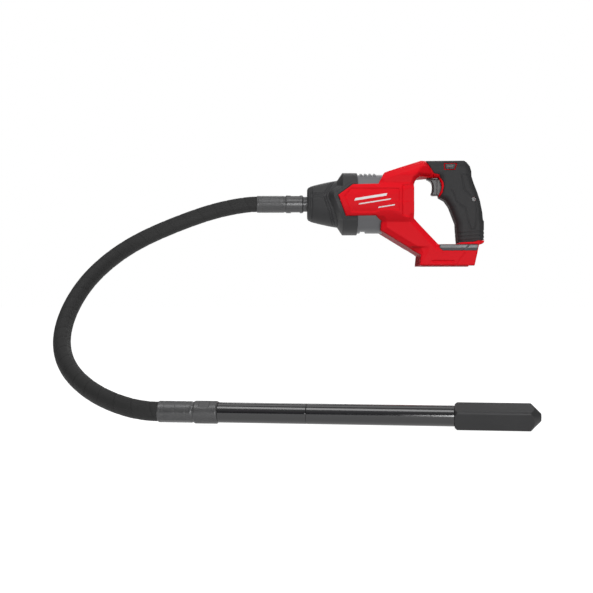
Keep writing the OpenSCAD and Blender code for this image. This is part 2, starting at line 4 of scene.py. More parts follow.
import bmesh
import bpy
import numpy as np
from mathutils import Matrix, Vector

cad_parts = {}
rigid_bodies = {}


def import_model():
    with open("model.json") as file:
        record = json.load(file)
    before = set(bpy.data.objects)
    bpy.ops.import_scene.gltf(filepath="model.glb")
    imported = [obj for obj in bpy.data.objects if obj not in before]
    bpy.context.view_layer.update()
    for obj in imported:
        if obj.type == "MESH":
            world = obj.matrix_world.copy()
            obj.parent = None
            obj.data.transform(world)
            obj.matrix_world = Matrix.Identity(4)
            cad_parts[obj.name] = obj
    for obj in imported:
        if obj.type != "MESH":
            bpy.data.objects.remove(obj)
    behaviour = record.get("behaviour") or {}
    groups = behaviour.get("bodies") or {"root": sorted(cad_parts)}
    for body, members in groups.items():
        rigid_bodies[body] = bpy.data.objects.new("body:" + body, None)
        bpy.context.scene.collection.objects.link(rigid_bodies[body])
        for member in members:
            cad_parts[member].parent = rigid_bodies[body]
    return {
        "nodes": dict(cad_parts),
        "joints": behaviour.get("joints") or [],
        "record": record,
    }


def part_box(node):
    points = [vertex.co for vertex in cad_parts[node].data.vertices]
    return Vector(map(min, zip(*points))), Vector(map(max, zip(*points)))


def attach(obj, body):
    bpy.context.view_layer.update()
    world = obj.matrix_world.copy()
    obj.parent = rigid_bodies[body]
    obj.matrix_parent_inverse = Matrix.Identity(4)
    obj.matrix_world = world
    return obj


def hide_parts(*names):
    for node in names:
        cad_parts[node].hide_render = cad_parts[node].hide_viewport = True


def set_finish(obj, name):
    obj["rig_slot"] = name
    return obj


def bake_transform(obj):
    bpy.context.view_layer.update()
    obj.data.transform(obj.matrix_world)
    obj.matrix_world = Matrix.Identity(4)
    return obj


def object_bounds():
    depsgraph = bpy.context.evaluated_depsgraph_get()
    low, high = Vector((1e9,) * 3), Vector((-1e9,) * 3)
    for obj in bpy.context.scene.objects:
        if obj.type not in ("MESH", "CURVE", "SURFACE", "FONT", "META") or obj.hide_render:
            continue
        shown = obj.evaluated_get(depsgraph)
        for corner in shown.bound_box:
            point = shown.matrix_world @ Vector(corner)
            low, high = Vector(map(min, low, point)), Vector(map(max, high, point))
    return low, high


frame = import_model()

mm = 0.001
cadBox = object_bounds()
print("frame loaded:", len(frame["nodes"]), "nodes")

# Camera first, level and square to the side
camera = {"place": (-0.2656, -1.755, -0.1347), "lens": 67.87, "sensor": 36.0}
camData = bpy.data.cameras.new("camera")
camData.lens = camera["lens"]
camData.sensor_width = camera["sensor"]
camObject = bpy.data.objects.new("camera", camData)
camObject.location = camera["place"]
camObject.rotation_euler = (math.pi / 2, 0, 0)
bpy.context.scene.collection.objects.link(camObject)
bpy.context.scene.camera = camObject


# A mesh object from arrays of points (metres) and of four-sided or three-sided faces
def meshObject(name, points, faces, smoothAngle=None):
    mesh = bpy.data.meshes.new(name)
    mesh.from_pydata([tuple(p) for p in np.asarray(points, float).tolist()], [], [list(f) for f in faces])
    mesh.validate()
    obj = bpy.data.objects.new(name, mesh)
    bpy.context.scene.collection.objects.link(obj)
    mesh.shade_smooth()
    if smoothAngle is not None:
        mesh.set_sharp_from_angle(angle=math.radians(smoothAngle))
    return obj


# Faces of a grid of rows by columns of points; the columns close on themselves when wrap is true
def gridFaces(rows, columns, wrap=True):
    i, j = np.meshgrid(np.arange(rows - 1), np.arange(columns if wrap else columns - 1), indexing="ij")
    k = (j + 1) % columns
    return np.stack([i * columns + j, i * columns + k, (i + 1) * columns + k, (i + 1) * columns + j],
                    -1).reshape(-1, 4)


# A profile of [s, r] corners with each corner rounded: points on a parabola between its two edges
def softProfile(corners, radius=0.6, steps=4):
    p = np.array(corners, float)
    out = [p[0]]
    t = np.linspace(0, 1, steps + 1)[:, None]
    for a, b, c in zip(p[:-2], p[1:-1], p[2:]):
        la, lc = np.linalg.norm(a - b), np.linalg.norm(c - b)
        start = b + (a - b) * min(radius, la * 0.45) / la
        stop = b + (c - b) * min(radius, lc * 0.45) / lc
        out.extend((1 - t) ** 2 * start + 2 * t * (1 - t) * b + t ** 2 * stop)
    out.append(p[-1])
    return np.array(out)


# Splits long stretches of a profile so that no step is longer than the given length
def denser(profile, longest):
    out = [profile[0]]
    for a, b in zip(profile[:-1], profile[1:]):
        n = max(1, int(math.ceil(np.linalg.norm(b - a) / longest)))
        out.extend(a + (b - a) * k / n for k in range(1, n + 1))
    return np.array(out)


# Turned piece: each profile point (s along the axis, r from it, in mm) is carried round the axis.
# relief(s, angle, r) gives the radius at each place; an end of the profile at r = 0 is closed
def turnedPiece(name, profile, origin, axis, up, segments=96, relief=None, smoothAngle=None):
    axis, up = np.array(axis, float), np.array(up, float)
    side = np.cross(axis, up)
    s, r = profile[:, 0][:, None], profile[:, 1][:, None]
    angle = np.linspace(0, 2 * math.pi, segments, endpoint=False)[None, :]
    rr = relief(s, angle, r) if relief else r + 0 * angle
    points = (np.array(origin, float) + (s * mm)[..., None] * axis
              + (rr * mm)[..., None] * (np.cos(angle)[..., None] * up + np.sin(angle)[..., None] * side))
    rows = len(profile)
    points = points.reshape(-1, 3)
    faces = gridFaces(rows, segments).tolist()
    for row, flip in ((0, False), (rows - 1, True)):
        if profile[row, 1] == 0:
            ring = list(range(row * segments, (row + 1) * segments))
            mid = len(points)
            points = np.vstack([points, points[ring[0]][None]])
            band = row + 1 if row == 0 else row - 1
            faces = [f for f in faces if not (min(f) >= min(row, band) * segments
                                              and max(f) < (max(row, band) + 1) * segments)]
            edge = np.arange(band * segments, (band + 1) * segments)
            nextEdge = np.roll(edge, -1)
            fan = np.stack([np.full(segments, mid), nextEdge, edge] if not flip
                           else [np.full(segments, mid), edge, nextEdge], -1)
            faces += fan.tolist()
    obj = meshObject(name, points, faces, smoothAngle)
    dropLoose(obj)
    return obj


# Takes away points that no face uses and turns all faces outwards
def dropLoose(obj):
    bm = bmesh.new()
    bm.from_mesh(obj.data)
    loose = [v for v in bm.verts if not v.link_faces]
    bmesh.ops.delete(bm, geom=loose, context="VERTS")
    bmesh.ops.recalc_face_normals(bm, faces=bm.faces)
    bm.to_mesh(obj.data)
    bm.free()


# A ring-shaped profile closed on itself: the last row joins the first
def ringPiece(name, profile, origin, axis, up, segments=96, relief=None):
    closed = np.vstack([profile, profile[:1]])
    obj = turnedPiece(name, closed, origin, axis, up, segments, relief)
    bm = bmesh.new()
    bm.from_mesh(obj.data)
    bmesh.ops.remove_doubles(bm, verts=bm.verts, dist=1e-7)
    bmesh.ops.recalc_face_normals(bm, faces=bm.faces)
    bm.to_mesh(obj.data)
    bm.free()
    return obj


# Every finished piece: the body it moves with, the CAD node it stands for, and its material
def dress(piece, body, node, slotName):
    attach(piece, body)
    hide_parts(node)
    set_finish(piece, slotName)


# Hose
hose = {"radius": 12.1, "rings": 560, "sides": 56, "wrapPitch": 25.0, "wrapDepth": 0.28, "wrapWidth": 1.6}
hoseRoute = np.array([
    (-328, 0, 10), (-358, 0, 7), (-394, -1, -1), (-430, -5, -13), (-464, -13, -27), (-497, -25, -43),
    (-527, -43, -62), (-553, -68, -85), (-573, -100, -111), (-586, -138, -140), (-591, -179, -169),
    (-588, -218, -194), (-578, -254, -215), (-562, -286, -233), (-541, -313, -248), (-517, -335, -260),
    (-491, -352, -269), (-464, -364, -275), (-436, -371, -277)], float) * mm
joints = {j["name"]: j for j in frame["joints"]}
wandAxis = np.array(joints["eccentric_spin"]["axis"], float)
wandAxis /= np.linalg.norm(wandAxis)
wandStart = np.array(joints["eccentric_spin"]["pos_m"], float)
noseAxis = np.array(joints["rotor_spin"]["axis"], float)
sideways = np.array((0, -0.6, 0.8))


# Smooth curve through the route: a cubic spline on chord length with its end directions fixed
def splinePath(route, startWay, endWay, count):
    t = np.r_[0, np.cumsum(np.linalg.norm(np.diff(route, axis=0), axis=1))]
    n = len(route)
    h = np.diff(t)
    slope = np.diff(route, axis=0) / h[:, None]
    matrix, right = np.zeros((n, n)), np.zeros((n, 3))
    matrix[0, 0] = matrix[-1, -1] = 1
    right[0], right[-1] = startWay, endWay
    for i in range(1, n - 1):
        matrix[i, i - 1:i + 2] = 1 / h[i - 1], 2 / h[i - 1] + 2 / h[i], 1 / h[i]
        right[i] = 3 * (slope[i - 1] / h[i - 1] + slope[i] / h[i])
    way = np.linalg.solve(matrix, right)
    u = np.linspace(0, t[-1], count)
    k = np.clip(np.searchsorted(t, u) - 1, 0, n - 2)
    q = ((u - t[k]) / h[k])[:, None]
    hk = h[k][:, None]
    return (route[k] * (1 + 2 * q) * (1 - q) ** 2 + way[k] * hk * q * (1 - q) ** 2
            + route[k + 1] * q ** 2 * (3 - 2 * q) + way[k + 1] * hk * q ** 2 * (q - 1))


# Tube along a path: at each path point a ring square to it; relief(length, angle) adds to the radius, in mm.
# Its UV map holds the length in mm / 1000 and the angle as a share of a turn
def tubePiece(name, path, radius, sides, relief=None, across=sideways):
    way = np.gradient(path, axis=0)
    way /= np.linalg.norm(way, axis=1)[:, None]
    u = np.cross(way, across)
    u /= np.linalg.norm(u, axis=1)[:, None]
    v = np.cross(u, way)
    along = np.r_[0, np.cumsum(np.linalg.norm(np.diff(path, axis=0), axis=1))]
    angle = np.linspace(0, 2 * math.pi, sides, endpoint=False)
    r = radius + (relief(along[:, None] / mm, angle[None, :]) if relief else np.zeros((len(path), sides)))
    points = path[:, None] + (r * mm)[..., None] * (np.cos(angle)[None, :, None] * u[:, None]
                                                    + np.sin(angle)[None, :, None] * v[:, None])
    rows = len(path)
    points = np.vstack([points.reshape(-1, 3), path[:1], path[-1:]])
    body = gridFaces(rows, sides)
    ring = np.arange(sides)
    first = np.stack([np.full(sides, rows * sides), np.roll(ring, -1), ring], -1)
    last = np.stack([np.full(sides, rows * sides + 1), ring + (rows - 1) * sides,
                     np.roll(ring, -1) + (rows - 1) * sides], -1)
    obj = meshObject(name, points, body.tolist() + first.tolist() + last.tolist())
    layer = obj.data.uv_layers.new(name="alongRound")
    loops = np.zeros(len(obj.data.loops), np.int64)
    obj.data.loops.foreach_get("vertex_index", loops)
    loops = np.minimum(loops, rows * sides - 1)
    uv = np.stack([along[loops // sides], (loops % sides) / sides], -1)
    quads = len(body)
    corner = uv[:quads * 4].reshape(-1, 4, 2)
    seam = (corner[:, :, 1].max(1) - corner[:, :, 1].min(1)) > 0.5
    corner[seam, :, 1] = np.where(corner[seam, :, 1] < 0.5, corner[seam, :, 1] + 1, corner[seam, :, 1])
    layer.data.foreach_set("uv", uv.ravel())
    return obj


# A shallow groove that winds round the hose, as the fabric strip leaves when the hose is cured
def wrapGroove(length, angle):
    place = (length / hose["wrapPitch"] + angle / (2 * math.pi)) % 1.0
    away = np.minimum(place, 1 - place) * hose["wrapPitch"]
    return -hose["wrapDepth"] * np.exp(-(away / hose["wrapWidth"]) ** 2)


hosePath = splinePath(hoseRoute, noseAxis, wandAxis, hose["rings"])
hosePiece = tubePiece("hose_cover", hosePath, hose["radius"], hose["sides"], wrapGroove)
coarse = hosePath[::8]
linerPiece = tubePiece("hose_wound_liner", np.vstack([hoseRoute[:1] - 0.036 * noseAxis, coarse,
                                                      wandStart[None] + 0.036 * wandAxis]), 7.4, 24)
corePiece = tubePiece("hose_flexible_core", np.vstack([hoseRoute[:1] - 0.070 * noseAxis, coarse,
                                                       wandStart[None] + 0.053 * wandAxis]), 3.9, 16)
for piece, node, slotName in ((hosePiece, "hose", "hose_rubber"), (linerPiece, "hose_liner", "plain_steel"),
                              (corePiece, "flex_core", "plain_steel")):
    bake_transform(piece)
    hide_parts(node)
    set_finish(piece, slotName)


# Forms worked out as distance fields
# The battery foot's middle at its lower rim: housing outlines are given from there, in mm
shellLow, shellHigh = (np.array(corner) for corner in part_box("housing_left"))
footPlace = np.array((shellHigh[0] - 61.3 * mm, 0.0, shellLow[2]))
driveHeight = 97.0


# Distance to a closed outline of [x, z] corners, below zero inside it
def outlineAway(corners, x, z):
    p = np.array(corners, float)
    nearest, inside = np.inf, False
    for a, b in zip(p, np.roll(p, -1, axis=0)):
        ex, ez = b - a
        wx, wz = x - a[0], z - a[1]
        t = np.clip((wx * ex + wz * ez) / (ex * ex + ez * ez), 0, 1)
        nearest = np.minimum(nearest, (wx - ex * t) ** 2 + (wz - ez * t) ** 2)
        if ez != 0:
            inside = inside ^ (((a[1] > z) != (b[1] > z)) & (wx < ex * wz / ez))
    return np.where(inside, -1, 1) * np.sqrt(nearest)


# Distance to an open line of [x, z] corners
def lineAway(corners, x, z):
    p = np.array(corners, float)
    nearest = np.inf
    for a, b in zip(p[:-1], p[1:]):
        ex, ez = b - a
        t = np.clip(((x - a[0]) * ex + (z - a[1]) * ez) / (ex * ex + ez * ez), 0, 1)
        nearest = np.minimum(nearest, (x - a[0] - ex * t) ** 2 + (z - a[1] - ez * t) ** 2)
    return np.sqrt(nearest)


# What two forms share, its edge rounded to radius r
def sharedForm(a, b, r):
    return np.minimum(-r, np.maximum(a, b)) + np.hypot(np.maximum(r + a, 0), np.maximum(r + b, 0))


def softStep(value):
    t = np.clip(value, 0, 1)
    return t * t * (3 - 2 * t)


# The smaller of two heights, blended over k where they cross
def softLess(a, b, k=2.0):
    h = np.clip(0.5 + 0.5 * (b - a) / k, 0, 1)
    return b + (a - b) * h - k * h * (1 - h)


# Depth of a narrow groove at a distance from its line
def groove(away, width, depth):
    return depth * np.exp(-(away / width) ** 2)


# Closed skin of a form: points on the grid cells that its surface crosses, drawn onto it in three steps
# along its slope, with one four-sided face for each grid edge that the surface crosses
def closedSkin(name, form, low, high, step):
    axes = [np.arange(a - 1.5 * step, b + 2.5 * step, step) for a, b in zip(low, high)]
    shape = tuple(len(a) for a in axes)
    value = np.broadcast_to(form(axes[0][:, None, None], axes[1][None, :, None], axes[2][None, None, :]),
                            shape)
    within = value < 0
    cells = tuple(n - 1 for n in shape)
    count, total = np.zeros(cells), np.zeros(cells + (3,))
    crossed = []
    for axis in range(3):
        near, far = [slice(None)] * 3, [slice(None)] * 3
        near[axis], far[axis] = slice(None, -1), slice(1, None)
        a, b = value[tuple(near)], value[tuple(far)]
        change = within[tuple(near)] != within[tuple(far)]
        share = np.where(change, a / np.where(change, a - b, 1), 0)
        crossed.append(change)
        others = [k for k in range(3) if k != axis]
        for du, dv in ((0, 0), (0, 1), (1, 0), (1, 1)):
            cut = [slice(None)] * 3
            cut[others[0]] = slice(du, du + cells[others[0]])
            cut[others[1]] = slice(dv, dv + cells[others[1]])
            c = change[tuple(cut)]
            count += c
            total[..., axis] += share[tuple(cut)]
            total[..., others[0]] += c * du
            total[..., others[1]] += c * dv
    used = count > 0
    index = np.full(cells, -1)
    index[used] = np.arange(used.sum())
    place = np.argwhere(used) + total[used] / count[used][:, None]
    points = np.array([a[0] for a in axes]) + place * step
    faces = []
    for axis in range(3):
        b, c = (axis + 1) % 3, (axis + 2) % 3
        spots = np.argwhere(crossed[axis])
        spots = spots[(spots[:, b] > 0) & (spots[:, c] > 0) & (spots[:, b] < shape[b] - 1)
                      & (spots[:, c] < shape[c] - 1)]
        back = np.eye(3, dtype=int)
        corners = [spots, spots - back[b], spots - back[b] - back[c], spots - back[c]]
        quad = np.stack([index[tuple(corner.T)] for corner in corners], -1)
        outward = within[tuple(spots.T)]
        quad[~outward] = quad[~outward][:, ::-1]
        faces.append(quad)
    faces = np.vstack(faces)
    reach = 0.6 * step
    for _ in range(3):
        here = form(*points.T)
        slope = np.stack([form(*(points + 0.06 * np.eye(3)[k]).T) - here for k in range(3)], -1) / 0.06
        move = -here[:, None] * slope / np.maximum((slope ** 2).sum(1), 0.05)[:, None]
        length = np.linalg.norm(move, axis=1)[:, None]
        points = points + move * np.minimum(1, reach / np.maximum(length, 1e-9))
    return meshObject(name, footPlace + points * mm, faces.tolist())


# Red housing
bodyOutline = [(-102, 53.7), (-40.8, 16.3), (-42.2, 0), (42.2, 0), (46.8, 20.7), (48.8, 32.3), (52, 37),
               (20, 35.4), (19.5, 32.8), (-13.2, 32.8), (-51, 72.5), (-51, 124.2), (-47.5, 133),
               (-41.4, 137.2), (-17.7, 137.6), (-17.7, 143.8), (-30.3, 163.9), (-37.8, 164.2),
               (-95.9, 143.8), (-106, 125.8), (-112, 100), (-109.9, 76.6), (-102, 67.7)]
panelOutline = [(-156, 75.7), (-109.9, 76.6), (-100, 80), (-100, 122), (-106, 125.8), (-144.9, 124.7),
                (-168, 107.7)]
coreOutline = [(22.6, 33), (58.4, 36), (58.4, 70), (57, 72), (56, 83.3), (52.5, 100.7), (48.3, 113.7),
               (42.9, 127.8), (39.3, 139.2), (39, 147.2), (36.6, 154.8), (32.4, 160.2), (29.5, 162),
               (-31, 161), (-24, 144), (-12, 139.5), (-8.4, 134), (-6.2, 129.2), (-5.5, 124),
               (-6.1, 118.6), (-8, 113.6), (-11, 108.6), (1.6, 103.6), (9.6, 92.5), (19.8, 66.2)]
gripOutline = [(20.3, 35.6), (43.6, 36.8), (50, 39.3), (61.2, 40.7), (61.2, 69.7), (59.7, 71.9),
               (58.6, 83.7), (55.1, 101.3), (50.9, 114.5), (45.4, 128.6), (41.8, 139.7), (41.5, 148),
               (39, 156), (34, 162), (30, 164.6), (-30.3, 163.9), (-17.7, 143.8), (-8.8, 142.5),
               (-8.9, 139.7), (-3, 130), (-2.4, 124), (-4.2, 114.6), (-8.9, 106.8), (0.2, 101.7),
               (7.2, 91.7), (17.3, 65.6)]
rimOutline = [(-11, 108.6), (-8.9, 107), (-4.3, 114.6), (-2.5, 124), (-3.1, 130), (-9, 139.6),
              (-8.9, 142.4), (-17.8, 143.7), (-17.8, 137.6), (-10.8, 137.2), (-8.4, 134), (-6.2, 129.2),
              (-5.5, 124), (-6.1, 118.6), (-8, 113.6)]
lipOutline = [(46, 30), (59.2, 35.2), (61.3, 39.9), (50.2, 38.8), (44, 36.2)]
trimOutline = [(-12, 27.5), (-7, 22.8), (46, 22.8), (47.6, 32.6), (-12, 32.6)]
lockWindow = [(-2.2, 149.2), (14.6, 149.2), (18.4, 160), (-2.2, 160)]
lockOutline = [(-0.4, 150.6), (13.4, 150.6), (16.2, 158.6), (-0.4, 158.6)]
# The rubber is rounded along this outline, which runs past its joints with the red shell
roundOutline = [(17, 10), (61.2, 10), (61.2, 69.7), (59.7, 71.9), (58.6, 83.7), (55.1, 101.3),
                (50.9, 114.5), (45.4, 128.6), (41.8, 139.7), (41.5, 148), (39, 156), (34, 162),
                (30, 164.6), (-70, 163.9), (-70, 137.6), (-9.5, 138), (-9.5, 107), (0.2, 101.7),
                (7.2, 91.7), (17.3, 65.6)]
housing = {"panelRadius": 50.0, "wall": 3.0, "footHalf": 39.5, "edge": 1.6, "step": 1.2,
           "motorRadius": 46.1, "motorRearRadius": 39.6, "bossRadius": 4.2, "screwRadius": 1.55,
           "screwHead": 3.25, "recess": 1.5, "rearRecess": 2.8}
screwSpots = [(-59, 134, 36), (-64, 48, 36), (-59, 80, 36), (-27, 148, 17), (-34, 24, 33), (53, 60, 13)]
gripScrew = (44.3, 103.7, 13)
frontRecess = [(-159, 105.7), (-149, 118.7), (-74, 118.7), (-74, 84), (-98, 85.5), (-114, 80.7),
               (-147, 80.7)]
rearRecess = [(-69.6, 123.4), (-52.3, 126.4), (-52.3, 72.9), (-69.6, 76)]
# Bevels along an edge line: width of the bevel and how steeply it falls to the edge
bevels = [([(-95.9, 143.8), (-37.8, 164.2), (-28, 164.2)], 11, 0.62),
          ([(-106, 125.8), (-95.9, 143.8)], 5, 0.5),
          ([(-51, 124.2), (-47.5, 133), (-41.4, 137.2), (-17.7, 137.6)], 6.5, 0.55),
          ([(-51, 72.5), (-13.2, 32.8)], 9, 0.5),
          ([(-102, 67.7), (-102, 53.7), (-46, 19.4)], 9, 0.45)]


# Half width of the housing at each place of its side view
def sideReach(x, z):
    arch = np.sqrt(housing["panelRadius"] ** 2 - np.clip(z - driveHeight, -30, 30) ** 2)
    upper = np.maximum(softLess(43 - 0.1556 * (x + 51), 43 - 0.8 * (x + 51)), 19)
    lower = np.maximum(43 - 0.2 * (x + 51), housing["footHalf"])
    reach = softLess(arch, np.where(z > 98, upper, lower))
    reach = softLess(reach, 50 - 0.588 * (z - 124))
    for line, width, fall in bevels:
        away = lineAway(line, x, z)
        reach = reach - fall * np.maximum(0, width - away) * softStep((width - away) / 1.5)
    reach = reach - housing["recess"] * softStep(-outlineAway(frontRecess, x, z) / 1.1)
    deep = housing["rearRecess"] * (1 - 0.7 * np.clip((x + 69.6) / 17.3, 0, 1))
    reach = reach - deep * softStep(-outlineAway(rearRecess, x, z) / 1.0)
    # battery foot: a facet at its front corner, a lower step behind, and a slot
    facet = (-34.2 - x + (z - 9.9) * 0.45) * 0.9
    foot = softStep((30 - z) / 4) * softStep((x + 60) / 6)
    reach = reach - foot * 0.2 * np.maximum(0, facet)
    reach = reach - 0.7 * foot * softStep((x - 16.3 - (z - 6) * 0.73) / 0.8)
    slot = outlineAway([(-23.7, 5.2), (10.7, 5.2), (10.7, 7.4), (-23.7, 7.4)], x, z)
    return reach - 1.2 * softStep(-slot / 0.6 + 0.5)


# Outer form of the rubber grip and of the red core under it, from the middle plane outwards
def gripRounding(x, h, z, smaller=0.0):
    return sharedForm(outlineAway(roundOutline, x, z) + smaller, h - 19 + smaller, 11 - smaller)


# How far a value is outside a range, below zero inside it
def outside(value, low, high):
    return np.maximum(low - value, value - high)


# Rooms cut from the shell: for the trigger, the battery's rails and mouth, and the motor
rooms = {"triggerX": (-12, 4), "triggerZ": (109.55, 136.95), "triggerHalf": 8.35, "socketX": -36,
         "railHalf": 31, "railZ": (3, 13.5), "mouthHalf": 26.5, "mouthTop": 4, "motorX": (-97.4, -67.9),
         "lockGap": 0.35, "trimGap": 0.1, "trimInner": 37.5, "blockX": (-43, 47), "blockTop": 16.5}


def triggerRoom(x, h, z):
    side = np.maximum(outside(x, *rooms["triggerX"]), outside(z, *rooms["triggerZ"]))
    return np.maximum(side, h - rooms["triggerHalf"])


# One half of the red housing; side is -1 for the left and 1 for the right
def housingForm(side):
    def form(x, y, z):
        h = y * side
        body = outlineAway(bodyOutline, x, z)
        both = np.minimum(body, outlineAway(panelOutline, x, z))
        reach = sideReach(x, z)
        core = outlineAway(coreOutline, x, z)
        edge = housing["edge"] + 8 * softStep((x + 80) / 50) * softStep((z - 120) / 10)
        outer = sharedForm(both, (h - reach) * 0.9, edge)
        coreSkin = sharedForm(core, gripRounding(x, h, z, 2.55), 0.5)
        rim = sharedForm(outlineAway(rimOutline, x, z), gripRounding(x, h, z, 0.1), 0.4)
        lip = sharedForm(outlineAway(lipOutline, x, z), h - 16.3, 1.5)
        wall = housing["wall"]
        hollow = np.minimum(np.maximum(body + wall, h - reach + wall + 1.5),
                            np.maximum(core + wall, gripRounding(x, h, z, 5.6)))
        shell = np.maximum(np.minimum(outer, coreSkin), -hollow)
        block = np.maximum(np.maximum(outside(x, *rooms["blockX"]), z - rooms["blockTop"]), outer)
        solid = np.minimum(np.minimum(shell, block), np.minimum(rim, lip))
        within = np.minimum(outer, coreSkin) + 0.3
        for sx, sz, half in screwSpots + [gripScrew]:
            away = np.hypot(x - sx, z - sz)
            post = np.maximum(np.maximum(away - housing["bossRadius"], within),
                              h - half - 6 if side > 0 or half == gripScrew[2] else h - 60)
            solid = np.minimum(solid, post)
        motor = np.hypot(y, z - driveHeight)
        motorRoom = np.minimum(np.maximum(motor - housing["motorRadius"], x - rooms["motorX"][0]),
                               np.maximum(motor - housing["motorRearRadius"], x - rooms["motorX"][1]))
        rails = np.maximum(h - rooms["railHalf"], outside(z, *rooms["railZ"]))
        mouth = np.maximum(h - rooms["mouthHalf"], z - rooms["mouthTop"])
        socket = np.maximum(rooms["socketX"] - x, np.minimum(rails, mouth))
        slide = triggerRoom(x, h, z)
        lock = outlineAway(lockOutline, x, z) - rooms["lockGap"]
        trim = np.maximum(outlineAway(trimOutline, x, z) - rooms["trimGap"], rooms["trimInner"] - h)
        for cut in (motorRoom, socket, slide, lock, trim):
            solid = np.maximum(solid, -cut)
        for sx, sz, half in screwSpots + [gripScrew]:
            away = np.hypot(x - sx, z - sz)
            shank = np.maximum(away - housing["screwRadius"], h - half - 0.2)
            solid = np.maximum(solid, -shank)
            if (side > 0) == ((sx, sz, half) != gripScrew):
                solid = np.maximum(solid, -np.maximum(away - housing["screwHead"], half - h))
        return sharedForm(solid, 0.06 - h, 0.45)
    return form


for side, name in ((-1, "left"), (1, "right")):
    piece = closedSkin("shell_" + name, housingForm(side), (-168.5, 0 if side > 0 else -51, -0.5),
                       (62, 51 if side > 0 else 0, 165), housing["step"])
    dress(piece, "drive_unit", "housing_" + name, "red_shell")
    print("red shell, %s half: %d faces" % (name, len(piece.data.polygons)))

# Rubber grip
grip = {"bandDepth": 1.1, "lineDepth": 1.1, "step": 1.1}
gripLines = [[(26.5, 142), (36.9, 141.9)], [(24.8, 142.5), (29.2, 118.7), (40.3, 108.2)],
             [(8.5, 119.5), (13.8, 111.8), (17.3, 100.5), (21.5, 95.6), (31.2, 90), (33.5, 78),
              (38.6, 58.5), (42, 56.5), (45.5, 58.5), (47.8, 72), (48.6, 88), (46.5, 99)]]
gripBands = [50.5, 44.3, 38.6]


# One half of the rubber grip, with grooves along its panels and round its lower end
def gripForm(side):
    def form(x, y, z):
        h = y * side
        outer = gripRounding(x, h, z)
        for line in gripLines:
            outer = outer + groove(lineAway(line, x, z), 0.8, grip["lineDepth"])
        for height in gripBands:
            outer = outer + groove(z - height - 0.1 * (x - 20), 0.75, grip["bandDepth"])
        rubber = sharedForm(outlineAway(gripOutline, x, z), outer, 0.3)
        core = np.maximum(outlineAway(coreOutline, x, z), gripRounding(x, h, z, 2.5))
        rubber = np.maximum(rubber, -(core - 0.05))
        window = outlineAway(lockWindow, x, z)
        rubber = sharedForm(rubber, -window, 0.6)
        slide = triggerRoom(x, h, z)
        rubber = np.maximum(rubber, -slide)
        hole = gripScrew if side < 0 else screwSpots[5]
        rubber = sharedForm(rubber, 3.4 - np.hypot(x - hole[0], z - hole[1]), 0.5)
        rubber = np.maximum(rubber, -(outlineAway(rimOutline, x, z) - 0.05))
        return sharedForm(rubber, 0.06 - h, 0.4)
    return form


for side, name in ((-1, "left"), (1, "right")):
    piece = closedSkin("rubber_" + name, gripForm(side), (-31, 0 if side > 0 else -19.5, 35),
                       (62, 19.5 if side > 0 else 0, 165.2), grip["step"])
    dress(piece, "drive_unit", "grip_" + name, "grip_rubber")
print("rubber grip made")

# Controls and trim
controls = {"triggerHalf": 8.0, "triggerEdge": 2.2, "lockHalf": 18.2, "trimHalf": 39.7, "trimDepth": 2.0}
triggerOutline = [(-4, 109.9), (3, 109.9), (3, 136.6), (-27.8, 136.6), (-28.3, 135.4), (-24.6, 133.8),
                  (-21, 131.4), (-19.3, 128), (-18.7, 124.2), (-18.8, 120.6), (-19.2, 117), (-20.2, 114.6),
                  (-21, 112.7), (-20.4, 111), (-19.2, 109.9)]


def triggerForm(x, y, z):
    body = sharedForm(outlineAway(triggerOutline, x, z) + 0.15, np.abs(y) - controls["triggerHalf"],
                      controls["triggerEdge"])
    body = body + groove(np.abs(x + 12.4), 0.5, 0.5) * (np.abs(y) > 5)
    return np.maximum(body, x - 2.9)


def lockForm(x, y, z):
    away = outlineAway(lockOutline, x, z)
    body = sharedForm(away + 0.05, np.abs(y) - controls["lockHalf"], 0.8)
    return body + 0.7 * softStep((-away - 1.4) / 0.8) * (np.abs(y) > 15)


def trimForm(side):
    def form(x, y, z):
        h = y * side
        body = sharedForm(outlineAway(trimOutline, x, z) + 0.05, h - controls["trimHalf"], 0.9)
        bevel = (h - controls["trimHalf"] + 0.35 * np.maximum(0, 27.2 - z)) * 0.9
        split = groove(lineAway([(33.6, 32.8), (29.6, 27.4), (23.6, 22.6)], x, z), 0.5, 0.6)
        return np.maximum(np.maximum(body, bevel) + split, controls["trimHalf"] - controls["trimDepth"] - h)
    return form


controlPieces = [
    ("trigger_paddle", triggerForm, (-29, -8.5, 109), (3.5, 8.5, 137), 0.7, "trigger", "black_plastic"),
    ("lock_slider", lockForm, (-1, -18.8, 150), (17, 18.8, 159), 0.7, "lock_button", "black_plastic")]
for name, form, low, high, step, node, slotName in controlPieces:
    piece = closedSkin(name, form, low, high, step)
    dress(piece, node, node, slotName)
for side, name in ((-1, "left"), (1, "right")):
    piece = closedSkin("foot_strip_" + name, trimForm(side), (-12.5, 37 if side > 0 else -40.5, 22),
                       (48, 40.5 if side > 0 else -37, 33), 0.75)
    dress(piece, "drive_unit", "foot_trim_" + name, "trim_plastic")

# Return spring: a helix from the trigger's rear to the switch
spring = {"start": 3.65, "stop": 13.55, "height": 123.0, "coil": 4.0, "wire": 0.35, "turns": 5, "rings": 180}
share = np.linspace(0, 1, spring["rings"])
wound = 2 * math.pi * spring["turns"] * share
springPath = footPlace + mm * np.stack([spring["start"] + (spring["stop"] - spring["start"]) * share,
                                        spring["coil"] * np.sin(wound),
                                        spring["height"] + spring["coil"] * np.cos(wound)], -1)
springPiece = tubePiece("return_spring", springPath, spring["wire"], 12, across=(1, 0, 0))
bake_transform(springPiece)
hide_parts("trigger_spring")
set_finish(springPiece, "plain_steel")
print("controls and trim made")

